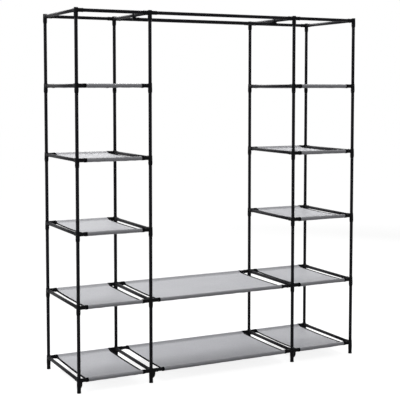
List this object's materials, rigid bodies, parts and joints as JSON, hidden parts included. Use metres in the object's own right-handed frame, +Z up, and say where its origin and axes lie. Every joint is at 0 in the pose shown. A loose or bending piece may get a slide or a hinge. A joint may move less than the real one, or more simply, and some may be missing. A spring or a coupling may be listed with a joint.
{
  "type": "portable fabric wardrobe",
  "caption": "Open knock-down clothes wardrobe: tube frame in moulded connectors, sleeved fabric shelves in two narrow bays, wide low shelves and a hanging rod between them.",
  "frame": {"origin": "on the floor under the middle of the rack, the centre of the bounding box's bottom", "axes": "+X to the right seen from the front, +Y to the back, +Z up"},
  "size_m": [1.5236, 0.4596, 1.75],
  "materials": {
    "frame_tube": "black powder coat, satin",
    "connector": "moulded black plastic, fine sparked texture",
    "shelf_fabric": "light grey non-woven fabric with a fine dotted bond pattern",
    "shelf_binding": "black folded binding tape, stitched"
  },
  "bodies": {
    "frame": {"post_left_outer_front": "frame_tube", "post_left_outer_back": "frame_tube", "post_left_inner_front": "frame_tube", "post_left_inner_back": "frame_tube", "post_right_inner_front": "frame_tube", "post_right_inner_back": "frame_tube", "post_right_outer_front": "frame_tube", "post_right_outer_back": "frame_tube", "side_rail_left_outer_1": "frame_tube", "side_rail_left_outer_2": "frame_tube", "side_rail_left_outer_3": "frame_tube", "side_rail_left_outer_4": "frame_tube", "side_rail_left_outer_5": "frame_tube", "side_rail_left_outer_6": "frame_tube", "side_rail_left_inner_1": "frame_tube", "side_rail_left_inner_2": "frame_tube", "side_rail_left_inner_3": "frame_tube", "side_rail_left_inner_4": "frame_tube", "side_rail_left_inner_5": "frame_tube", "side_rail_left_inner_6": "frame_tube", "side_rail_right_inner_1": "frame_tube", "side_rail_right_inner_2": "frame_tube", "side_rail_right_inner_3": "frame_tube", "side_rail_right_inner_4": "frame_tube", "side_rail_right_inner_5": "frame_tube", "side_rail_right_inner_6": "frame_tube", "side_rail_right_outer_1": "frame_tube", "side_rail_right_outer_2": "frame_tube", "side_rail_right_outer_3": "frame_tube", "side_rail_right_outer_4": "frame_tube", "side_rail_right_outer_5": "frame_tube", "side_rail_right_outer_6": "frame_tube", "top_rail_left_front": "frame_tube", "top_rail_left_back": "frame_tube", "top_rail_middle_front": "frame_tube", "top_rail_middle_back": "frame_tube", "top_rail_right_front": "frame_tube", "top_rail_right_back": "frame_tube", "wide_bar_1_front": "frame_tube", "wide_bar_1_back": "frame_tube", "wide_bar_2_front": "frame_tube", "wide_bar_2_back": "frame_tube", "shelf_left_1": "shelf_fabric", "shelf_left_2": "shelf_fabric", "shelf_left_3": "shelf_fabric", "shelf_left_4": "shelf_fabric", "shelf_left_5": "shelf_fabric", "shelf_middle_1": "shelf_fabric", "shelf_middle_2": "shelf_fabric", "shelf_right_1": "shelf_fabric", "shelf_right_2": "shelf_fabric", "shelf_right_3": "shelf_fabric", "shelf_right_4": "shelf_fabric", "shelf_right_5": "shelf_fabric"},
    "rod_assembly": {"hanging_rod": "frame_tube", "rod_clip_left": "connector", "rod_clip_right": "connector"}
  },
  "joints": [
    {"name": "rod_slide", "type": "slide", "parent": "frame", "child": "rod_assembly", "axis": [0, 1, 0], "range_m": [-0.115, 0.185]}
  ]
}
